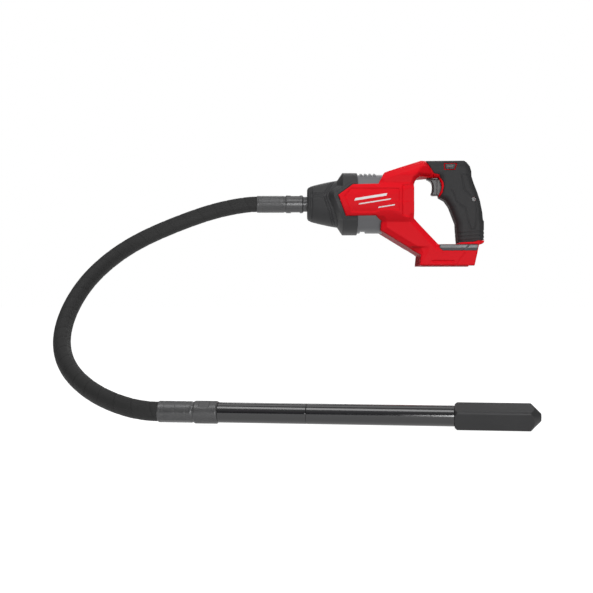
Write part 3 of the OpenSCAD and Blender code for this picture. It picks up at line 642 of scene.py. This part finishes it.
# Nose boot, bumper and motor casing
nose = {"grooveDepth": 1.3, "grooveWidth": 0.8, "flat": 48.8, "fall": 1.75}
bootLines = [[(-208, 109), (-187, 109), (-173.5, 131)], [(-187, 109), (-172, 64)],
             [(-207.5, 106), (-189.5, 106), (-175.5, 64)], [(-207.5, 112), (-189, 112), (-177.5, 130)],
             [(-207.6, 112), (-207.6, 124)], [(-207.6, 106), (-207.6, 74)]]
bootProfile = [(-215, 12.2), (-215, 22.5), (-213.6, 25.4), (-210, 27.6), (-204, 29.4), (-195, 31.6),
               (-186, 33.6), (-177, 35.4), (-168.2, 36.8), (-168.2, 33.4), (-190, 28.8), (-211.8, 24.5),
               (-212, 12.2)]
driveOrigin = footPlace + np.array((0, 0, driveHeight)) * mm


# Grooves of the boot, drawn on its two sides
def bootRelief(s, angle, r):
    x = s + 0 * angle
    z = driveHeight + r * np.cos(angle)
    side = softStep((np.abs(r * np.sin(angle)) - 8) / 8)
    outer = (r > np.interp(s, [-215, -211, -168], [20, 26.2, 35.2]))
    cut = sum(groove(lineAway(line, x, z), nose["grooveWidth"], nose["grooveDepth"]) for line in bootLines)
    ring = groove(s + 210.6, 0.6, 0.5)
    return r - outer * (side * np.minimum(cut, nose["grooveDepth"]) + ring)


boot = ringPiece("boot_rubber", denser(softProfile(bootProfile, 0.8), 0.6), driveOrigin, (1, 0, 0), (0, 0, 1),
                 240, bootRelief)
dress(boot, "drive_unit", "nose_boot", "boot_rubber")


# Bumper: a ring over the nose that flares up beside the edges of the red panels
def bumperForm(x, y, z):
    r = np.hypot(y, z - driveHeight)
    away = outlineAway(panelOutline, x, z)
    front = np.interp(x, [-190, -168, -160, -130], [30.0, 36.8, nose["flat"], nose["flat"]])
    side = softStep((np.abs(y) - 14) / 10)
    flare = nose["flat"] - nose["fall"] * np.maximum(0, away - 6.5) - 60 * (1 - side)
    outer = (r - np.maximum(front, flare)) * 0.6
    rim = groove(away - 4.2, 0.5, 0.35) * (r > 40)
    inner = np.interp(x, [-190, -168.1, -168, -163.6, -156.1, -130], [33.3, 37.05, 33.4, 33.4, 46.1, 46.1])
    ring = sharedForm(outer + rim, (inner - r) * 0.7, 0.4)
    ring = sharedForm(ring, 0.15 - away, 0.7)
    return sharedForm(ring, outside(x, -187, -137), 1.3)


bumper = closedSkin("bumper_rubber", bumperForm, (-188, -49.5, 47), (-136, 49.5, 147), 1.1)
dress(bumper, "drive_unit", "bumper_collar", "boot_rubber")

casing = {"ribHeight": 1.8, "ribs": (-131.2, -124.2, -117.2, -110.2)}
casingProfile = [(-141, 37.5), (-141, 46), (-97.5, 46), (-97.5, 39.5), (-68, 39.5), (-68, 8), (-72, 8),
                 (-72, 11), (-81, 11), (-81, 14), (-74, 14), (-74, 37.5)]


# Two long flats above and two below, four short ribs on top, and a notch underneath
def casingRelief(s, angle, r):
    outer = (r > 44)
    bend = np.minimum(angle, 2 * math.pi - angle)
    flat = r
    for middle in (44, 136):
        turn = bend - math.radians(middle)
        near = np.abs(turn) < math.radians(13)
        flat = np.where(near, np.minimum(flat, 45.0 / np.cos(np.clip(turn, -0.5, 0.5))), flat)
    side = np.abs(r * np.sin(angle))
    rib = sum(softStep((2.2 - np.abs(s - at)) / 0.6) for at in casing["ribs"])
    raised = casing["ribHeight"] * rib * softStep((19 - side) / 1.2) * (np.cos(angle) > 0)
    notch = 2.6 * softStep((4.6 - np.abs(s + 128.4)) / 1.2) * softStep((17 - side) / 1.5)
    notch = notch * (np.cos(angle) < 0)
    return np.where(outer, flat + raised - notch, r)


casingPiece = ringPiece("casing_shell", denser(softProfile(casingProfile, 0.5), 0.8), driveOrigin, (1, 0, 0),
                        (0, 0, 1), 288, casingRelief)
dress(casingPiece, "drive_unit", "motor_casing", "grey_casing")
print("nose and casing made")

# Fittings at both ends of the hose
fitting = {"flat": 12.5, "crimps": 8, "crimpDepth": 0.55}


# A crimped ferrule: flats round it that the crimping jaws leave, with a thin ridge between each pair
def ferruleRelief(start, stop):
    def relief(s, angle, r):
        jaw = softStep((s - start - 2) / 2) * softStep((stop - 3 - s) / 2)
        turn = (angle * fitting["crimps"] / (2 * math.pi)) % 1.0 - 0.5
        press = fitting["crimpDepth"] * (0.7 - 2.6 * turn ** 2) * (np.abs(turn) < 0.44)
        rings = sum(groove(s - start - at, 0.35, 0.25) for at in (8.0, 22.0, 36.0))
        return np.where(r > 11, r - jaw * np.maximum(press, 0) - jaw * rings, r)
    return relief


# A collar with two wrench flats across it between flatStart and flatStop, facing up and down
def collarRelief(flatStart, flatStop, turned):
    def relief(s, angle, r):
        on = ((s > flatStart) & (s < flatStop)) * 1.0
        side = np.abs(np.cos(angle - turned))
        cut = fitting["flat"] / np.maximum(side, 0.5)
        return np.where((r > 11) & (on > 0), np.minimum(r, cut), r)
    return relief


ferruleBody = [(0.05, 7.95), (0.05, 12.5), (1.3, 13.25), (42.5, 13.25), (43.5, 12.65), (45.5, 12.65),
               (45.5, 7.95)]
collarBody = [(0, 7.95), (0, 13.2), (1.6, 14), (28.4, 14), (30, 12.6), (30, 7.95)]


def placeFitting(name, profile, origin, axis, up, relief, body, node):
    piece = ringPiece(name, denser(softProfile(profile, 0.35), 0.5), origin, axis, up, 144, relief)
    dress(piece, body, node, "dark_fitting")


noseStart = footPlace + np.array((-294, 0, driveHeight)) * mm
up = np.array((0, 0, 1.0))
placeFitting("ferrule_upper", ferruleBody, noseStart, (1, 0, 0), up, ferruleRelief(0, 45.5), "drive_unit",
             "upper_ferrule")
placeFitting("collar_upper", [(s * 27.5 / 30, r) for s, r in collarBody], noseStart + (45.5 * mm, 0, 0),
             (1, 0, 0), up, collarRelief(8, 22, 0), "drive_unit", "upper_collar")
placeFitting("ferrule_lower", ferruleBody, wandStart, wandAxis, up, ferruleRelief(0, 45.5), "wand",
             "lower_ferrule")
placeFitting("collar_lower", collarBody, wandStart + 45.5 * mm * wandAxis, wandAxis, up,
             collarRelief(7, 20, 0.6), "wand", "lower_collar")
print("fittings made")

# Wand
wand = {"collarEnd": 75.5, "seam": 185.0, "headStart": 362.5, "tip": 463.5,
        "headWidth": 25.7, "corner": 3.0, "roll": 26.0, "tipRadius": 4.5}
for name, start, stop, node in (("stem_rear", wand["collarEnd"], wand["seam"], "stem_tube_rear"),
                                ("stem_front", wand["seam"], wand["headStart"], "stem_tube_front")):
    profile = [(start, 10.3), (start, 12.1), (start + 0.5, 12.5), (stop - 0.5, 12.5), (stop, 12.1),
               (stop, 10.3)]
    piece = ringPiece(name, denser(softProfile(profile, 0.3), 4.0), wandStart, wandAxis, up, 128)
    dress(piece, "wand", node, "gloss_tube")


# Distance from the axis to the side of a square with rounded corners, at each angle round it
def squareReach(angle, width, corner):
    half = width / 2
    a = np.abs((angle + math.pi / 4) % (math.pi / 2) - math.pi / 4)
    flat = half / np.cos(a)
    inner = (half - corner) * math.sqrt(2)
    b = math.pi / 4 - a
    rounded = inner * np.cos(b) + np.sqrt(np.maximum(corner ** 2 - (inner * np.sin(b)) ** 2, 0))
    touch = math.atan2(half - corner, half)
    return np.where(a > touch, rounded, flat)


# The head is the smaller of the rolled square and a turned cone with a short shoulder behind
def headRelief(s, angle, r):
    square = squareReach(angle - math.radians(wand["roll"]), wand["headWidth"], wand["corner"])
    reach = math.sqrt(2) * (wand["headWidth"] / 2 - wand["corner"]) + wand["corner"]
    start, tip, tipRadius = wand["headStart"], wand["tip"], wand["tipRadius"]
    cone = np.interp(s, [start, start + 4, tip - reach - 1 + tipRadius, tip],
                     [reach - 3, reach + 1, reach + 1, tipRadius])
    return np.where(r > 11, softLess(square + 0 * s, cone + 0 * angle, 0.5), r)


headLine = np.r_[wand["headStart"], np.arange(wand["headStart"] + 0.15, wand["headStart"] + 5, 0.35),
                 np.arange(wand["headStart"] + 6, wand["tip"] - 22, 2.0),
                 np.arange(wand["tip"] - 21, wand["tip"] - 0.1, 0.35)]
headProfile = np.vstack([[(wand["headStart"], 9.5)], np.c_[headLine, np.full(len(headLine), 12.0)],
                         [(wand["tip"], 4.4), (wand["tip"], 0)]])
boreProfile = np.array([(wand["tip"] - 14.5, 0), (wand["tip"] - 14.5, 9.5), (wand["headStart"], 9.5)])
headPiece = turnedPiece("head", np.vstack([boreProfile[:-1], headProfile]), wandStart, wandAxis, up, 256,
                        headRelief, smoothAngle=30)
dress(headPiece, "wand", "head_shell", "head_steel")
print("wand made")


# Materials
# A value or colour in a material; the operators add Math nodes
class Wire:
    def __init__(self, recipe, socket):
        self.recipe, self.socket = recipe, socket

    def maths(self, operation, first, second):
        return self.recipe.add("ShaderNodeMath", {"operation": operation}, {0: first, 1: second})

    def __add__(self, other):
        return self.maths("ADD", self, other)

    def __sub__(self, other):
        return self.maths("SUBTRACT", self, other)

    def __rsub__(self, other):
        return self.maths("SUBTRACT", other, self)

    def __mul__(self, other):
        return self.maths("MULTIPLY", self, other)

    __radd__ = __add__
    __rmul__ = __mul__


class Recipe:
    def __init__(self, name):
        self.material = bpy.data.materials.new(name)
        self.material.use_nodes = True
        self.tree = self.material.node_tree
        self.tree.nodes.clear()
        self.shader = self.tree.nodes.new("ShaderNodeBsdfPrincipled")
        output = self.tree.nodes.new("ShaderNodeOutputMaterial")
        self.tree.links.new(self.shader.outputs[0], output.inputs["Surface"])
        self.place = self.add("ShaderNodeTexCoord", output="Object")

    # Any other node: its settings first, then the values or links of its sockets
    def add(self, kind, settings=None, inputs=None, output=0):
        node = self.tree.nodes.new(kind)
        for key, value in (settings or {}).items():
            if key == "stops":
                ramp = node.color_ramp.elements
                while len(ramp) < len(value):
                    ramp.new(0.5)
                for element, (at, colour) in zip(ramp, value):
                    element.position, element.color = at, (*colour, 1)
            else:
                setattr(node, key, value)
        for key, value in (inputs or {}).items():
            if isinstance(value, Wire):
                self.tree.links.new(value.socket, node.inputs[key])
            else:
                node.inputs[key].default_value = value
        return Wire(self, node.outputs[output])

    def feed(self, name, value):
        if isinstance(value, Wire):
            self.tree.links.new(value.socket, self.shader.inputs[name])
        else:
            self.shader.inputs[name].default_value = value

    def noise(self, scale, detail=3.0, rough=0.55, stretch=(1, 1, 1)):
        where = self.add("ShaderNodeMapping", inputs={"Vector": self.place, "Scale": stretch})
        return self.add("ShaderNodeTexNoise", inputs={"Vector": where, "Scale": scale, "Detail": detail,
                                                      "Roughness": rough})

    def steps(self, value, stops):
        return self.add("ShaderNodeValToRGB", {"stops": stops}, {"Fac": value})

    def between(self, factor, first, second):
        node = self.tree.nodes.new("ShaderNodeMix")
        node.data_type = "RGBA"
        for socket, value in ((node.inputs[0], factor), (node.inputs[6], first), (node.inputs[7], second)):
            if isinstance(value, Wire):
                self.tree.links.new(value.socket, socket)
            else:
                socket.default_value = value if np.isscalar(value) else (*value, 1)
        return Wire(self, node.outputs[2])

    def bump(self, height, depth):
        self.feed("Normal", self.add("ShaderNodeBump", inputs={"Strength": 1.0, "Distance": depth,
                                                               "Height": height}))


# Screen colour of 0 to 255 as the light amount that a shader wants
def paint(red, green, blue):
    c = np.array((red, green, blue)) / 255
    return tuple(float(v) for v in np.where(c <= 0.04045, c / 12.92, ((c + 0.055) / 1.055) ** 2.4))


def mixed(colour, other, share):
    return tuple(a + (b - a) * share for a, b in zip(colour, other))


# Moulded or rubber surface: cloudy colour, a fine grain in relief, and uneven gloss
def moulded(name, colour, rough=0.5, grain=900.0, depth=0.00004, clouds=0.12, specular=0.5,
            metallic=0.0, polish=0.08):
    m = Recipe(name)
    cloud = m.noise(38.0, 4.0)
    fine = m.noise(grain, 2.0)
    tone = m.between(cloud, mixed(colour, (0, 0, 0), clouds), mixed(colour, (1, 1, 1), clouds * 0.12))
    speck = m.between(fine, mixed(colour, (0, 0, 0), clouds), mixed(colour, (1, 1, 1), clouds * 0.1))
    m.feed("Base Color", m.between(0.35, tone, speck))
    m.feed("Roughness", (cloud - 0.5) * (2 * polish) + rough)
    m.feed("Metallic", metallic)
    m.shader.inputs["Specular IOR Level"].default_value = specular
    m.bump(fine, depth)
    return m


looks = {
    "red_shell": dict(colour=paint(228, 10, 28), rough=0.5, grain=1500.0, depth=0.00002, clouds=0.05,
                      specular=0.06),
    "grip_rubber": dict(colour=paint(29, 29, 31), rough=0.62, grain=1300.0, depth=0.00012, clouds=0.25,
                        specular=0.25),
    "boot_rubber": dict(colour=paint(36, 36, 38), rough=0.55, grain=1100.0, depth=0.0001, clouds=0.2,
                        specular=0.35),
    "grey_casing": dict(colour=paint(104, 105, 108), rough=0.42, grain=1400.0, depth=0.00003, clouds=0.1,
                        metallic=0.15),
    "cast_nose": dict(colour=paint(178, 180, 184), rough=0.45, grain=800.0, depth=0.00008, clouds=0.12,
                      metallic=0.9),
    "trim_plastic": dict(colour=paint(64, 65, 68), rough=0.36, grain=1400.0, depth=0.00002, clouds=0.12),
    "black_plastic": dict(colour=paint(42, 42, 44), rough=0.4, grain=1400.0, depth=0.00003, clouds=0.2),
    "lead_cover": dict(colour=paint(40, 40, 44), rough=0.5, grain=1200.0, depth=0.00002, clouds=0.15)}
finishes = {name: moulded(name, **look) for name, look in looks.items()}


# Machined or cast steel: brushed lines round or along it, a few dull stains
def brushed(name, colour, rough, stretch=(1, 14, 14), metallic=1.0, depth=0.00002, stain=0.35,
            spread=0.16):
    m = Recipe(name)
    lines = m.noise(260.0, 3.0, 0.6, stretch)
    cloud = m.noise(30.0, 4.0)
    tone = m.between(lines, mixed(colour, (0, 0, 0), 0.25), mixed(colour, (1, 1, 1), 0.1))
    dull = m.steps(cloud, [(0.45, (0, 0, 0)), (0.72, (1, 1, 1))])
    amount = m.add("ShaderNodeSeparateColor", inputs={"Color": dull})
    m.feed("Base Color", m.between(amount * stain, tone, mixed(colour, (0, 0, 0), 0.55)))
    m.feed("Roughness", lines * spread + amount * 0.14 + (rough - 0.1))
    m.feed("Metallic", metallic)
    m.bump(lines, depth)
    return m


finishes["plain_steel"] = brushed("plain_steel", (0.56, 0.56, 0.58), 0.3)
finishes["core_steel"] = brushed("core_steel", (0.3, 0.3, 0.33), 0.42, (30, 1, 1))
finishes["dark_fitting"] = brushed("dark_fitting", (0.035, 0.035, 0.037), 0.42, (0.05, 8, 8), 0.45,
                                   0.0000002, 0.1, 0.03)
finishes["bronze"] = brushed("bronze", (0.62, 0.38, 0.17), 0.38)
finishes["copper"] = brushed("copper", (0.75, 0.32, 0.14), 0.3, (2, 20, 20))
finishes["head_steel"] = moulded("head_steel", paint(46, 46, 47), 0.5, 1600.0, 0.00005, 0.16, specular=0.3,
                                 metallic=0.25, polish=0.12)

# Glossy tube: nearly black lacquer over steel, with faint long draw lines
tube = Recipe("gloss_tube")
drawn = tube.noise(900.0, 2.0, 0.5, (0.02, 1, 1))
tube.feed("Base Color", tube.between(drawn, (0.006, 0.006, 0.007), (0.014, 0.014, 0.016)))
tube.feed("Roughness", tube.noise(24.0) * 0.08 + 0.1)
tube.shader.inputs["Specular IOR Level"].default_value = 0.75
tube.bump(drawn, 0.000004)
finishes["gloss_tube"] = tube

# Hose rubber: cloth print running round it at a slant and dusty clouds
rubber = Recipe("hose_rubber")
alongRound = rubber.add("ShaderNodeUVMap", {"uv_map": "alongRound"})
parts = rubber.tree.nodes.new("ShaderNodeSeparateXYZ")
rubber.tree.links.new(alongRound.socket, parts.inputs[0])
length, turn = Wire(rubber, parts.outputs[0]), Wire(rubber, parts.outputs[1])


# Threads as a fine wave of the length and the angle together
def thread(pitch, turns):
    wave = length * (2 * math.pi / pitch) + turn * (2 * math.pi * turns)
    return rubber.add("ShaderNodeMath", {"operation": "SINE"}, {0: wave}) * 0.5 + 0.5


cloth = thread(0.0016, 30) * thread(0.0016, -30)
clouds = rubber.noise(46.0, 4.0)
wrap = rubber.add("ShaderNodeMath", {"operation": "FRACT"},
                  {0: length * (1000 / hose["wrapPitch"]) + turn})
# The wrap groove is painted darker: painted shade along the groove, darkest in it and fading more slowly over
# one side
seam = rubber.steps(wrap, [(0.0, (0, 0, 0)), (0.05, (1, 1, 1)), (0.93, (0.8, 0.8, 0.8)), (1.0, (0, 0, 0))])
dusty = rubber.between(clouds, paint(16, 16, 16), paint(34, 34, 34))
# The darkest colour goes into the wrap groove as painted shade
rubber.feed("Base Color", rubber.between(seam, paint(9, 9, 9), dusty))
rubber.feed("Roughness", clouds * 0.16 + 0.62)
rubber.bump(cloth + clouds * 0.8, 0.00008)
rubber.shader.inputs["Specular IOR Level"].default_value = 0.4
finishes["hose_rubber"] = rubber

# Circuit board: green lacquer with copper tracks showing through as lines
board = Recipe("board")
tracks = board.add("ShaderNodeTexBrick", inputs={"Vector": board.place, "Scale": 160.0, "Mortar Size": 0.03},
                   output="Fac")
board.feed("Base Color", board.between(tracks, (0.01, 0.1, 0.035), (0.03, 0.2, 0.06)))
board.feed("Roughness", board.noise(300.0) * 0.2 + 0.25)
board.bump(tracks, 0.00003)
finishes["board"] = board

# Plain slanted bars printed on both side panels, with no letters: middle, length and height in mm
bars = {"pale": (0.8, 0.8, 0.8), "slant": 0.45, "rise": 0.16, "edge": 2500.0, "out": 0.042,
        "spots": [(-118, 104.5, 46, 4.2), (-112, 97.5, 46, 2.2), (-94, 90.5, 24, 2.2)]}
shell = finishes["red_shell"]
sides = shell.tree.nodes.new("ShaderNodeSeparateXYZ")
shell.tree.links.new(shell.place.socket, sides.inputs[0])
east, out, height = (Wire(shell, socket) for socket in sides.outputs)
out = shell.add("ShaderNodeMath", {"operation": "ABSOLUTE"}, {0: out})


# One inside a band around zero and none outside it, with a narrow soft edge
def band(value, half):
    away = shell.add("ShaderNodeMath", {"operation": "ABSOLUTE"}, {0: value})
    return shell.add("ShaderNodeMath", {"operation": "MULTIPLY", "use_clamp": True},
                     {0: half - away, 1: bars["edge"]})


printed = None
for barX, barZ, barLength, barHeight in bars["spots"]:
    bx, _, bz = footPlace + np.array((barX, 0, barZ)) * mm
    across = height - float(bz) - (east - float(bx)) * bars["rise"]
    along = east - float(bx) - (height - float(bz)) * bars["slant"]
    bar = band(across, barHeight * mm / 2) * band(along, barLength * mm / 2)
    printed = bar if printed is None else printed + bar
printed = printed * out.maths("GREATER_THAN", out, bars["out"])
link = next(l for l in shell.tree.links if l.to_socket == shell.shader.inputs["Base Color"])
shell.feed("Base Color", shell.between(printed, Wire(shell, link.from_socket), bars["pale"]))

# Each piece and each shown CAD node gets the finish of its slot
nodeSlots = {p["node"]: p["material_slot"] for p in frame["record"]["subparts"]}
for obj in list(bpy.context.scene.objects):
    if obj.type == "MESH":
        slotName = obj.get("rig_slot") or nodeSlots.get(obj.name)
        if slotName in finishes:
            obj.data.materials.clear()
            obj.data.materials.append(finishes[slotName].material)
print("materials made")


# Floor, light and background
studio = {"floorReach": 14.0, "floorGlow": 0.92, "lowSky": 0.05, "highSky": 0.5,
          "lamps": [("key", (-0.7, -1.3, 1.6), (1.4, 0.8), 14, (-0.25, 0, -0.05)),
                    ("top", (-0.25, 0.1, 1.5), (1.9, 0.7), 4, (-0.25, -0.05, 0)),
                    ("front", (0.3, -2.6, -0.05), (1.6, 0.5), 38, (-0.2, 0, 0)),
                    ("back", (0.2, 1.6, 0.9), (1.6, 0.8), 9, (-0.2, 0, 0))]}
lowest = cadBox[0][2]
edge = studio["floorReach"]
floor = meshObject("floor", [(-edge, -edge, lowest), (edge, -edge, lowest), (edge, edge, lowest),
                             (-edge, edge, lowest)], [(0, 1, 2, 3)])
floor.visible_diffuse = False
pale = Recipe("floor_pale")
pale.feed("Base Color", pale.between(pale.noise(3.0), (0.24, 0.24, 0.24), (0.27, 0.27, 0.27)))
pale.feed("Roughness", 0.9)
pale.feed("Emission Color", (1, 1, 1, 1))
pale.shader.inputs["Emission Strength"].default_value = studio["floorGlow"]
floor.data.materials.append(pale.material)
for name, place, size, watts, target in studio["lamps"]:
    lamp = bpy.data.lights.new(name, "AREA")
    lamp.shape = "RECTANGLE"
    lamp.size, lamp.size_y = size
    lamp.energy = watts
    holder = bpy.data.objects.new(name, lamp)
    holder.location = place
    holder.rotation_euler = (Vector(target) - Vector(place)).to_track_quat("-Z", "Y").to_euler()
    bpy.context.scene.collection.objects.link(holder)
world = bpy.data.worlds.new("studio")
bpy.context.scene.world = world
world.use_nodes = True
sky = world.node_tree
background = sky.nodes["Background"]
background.inputs["Strength"].default_value = 1.0
white = sky.nodes.new("ShaderNodeBackground")
white.inputs["Color"].default_value = (1, 1, 1, 1)
# the studio is dark at eye level and bright overhead
heading = sky.nodes.new("ShaderNodeTexCoord")
parts = sky.nodes.new("ShaderNodeSeparateXYZ")
rise = sky.nodes.new("ShaderNodeMapRange")
rise.inputs["From Min"].default_value, rise.inputs["From Max"].default_value = 0.15, 0.75
rise.inputs["To Min"].default_value, rise.inputs["To Max"].default_value = studio["lowSky"], studio["highSky"]
sky.links.new(heading.outputs["Generated"], parts.inputs[0])
sky.links.new(parts.outputs["Z"], rise.inputs["Value"])
sky.links.new(rise.outputs[0], background.inputs["Color"])
ray = sky.nodes.new("ShaderNodeLightPath")
choose = sky.nodes.new("ShaderNodeMixShader")
sky.links.new(ray.outputs["Is Camera Ray"], choose.inputs[0])
sky.links.new(background.outputs[0], choose.inputs[1])
sky.links.new(white.outputs[0], choose.inputs[2])
sky.links.new(choose.outputs[0], sky.nodes["World Output"].inputs["Surface"])
bpy.context.scene.view_settings.view_transform = "Standard"
print("studio made")
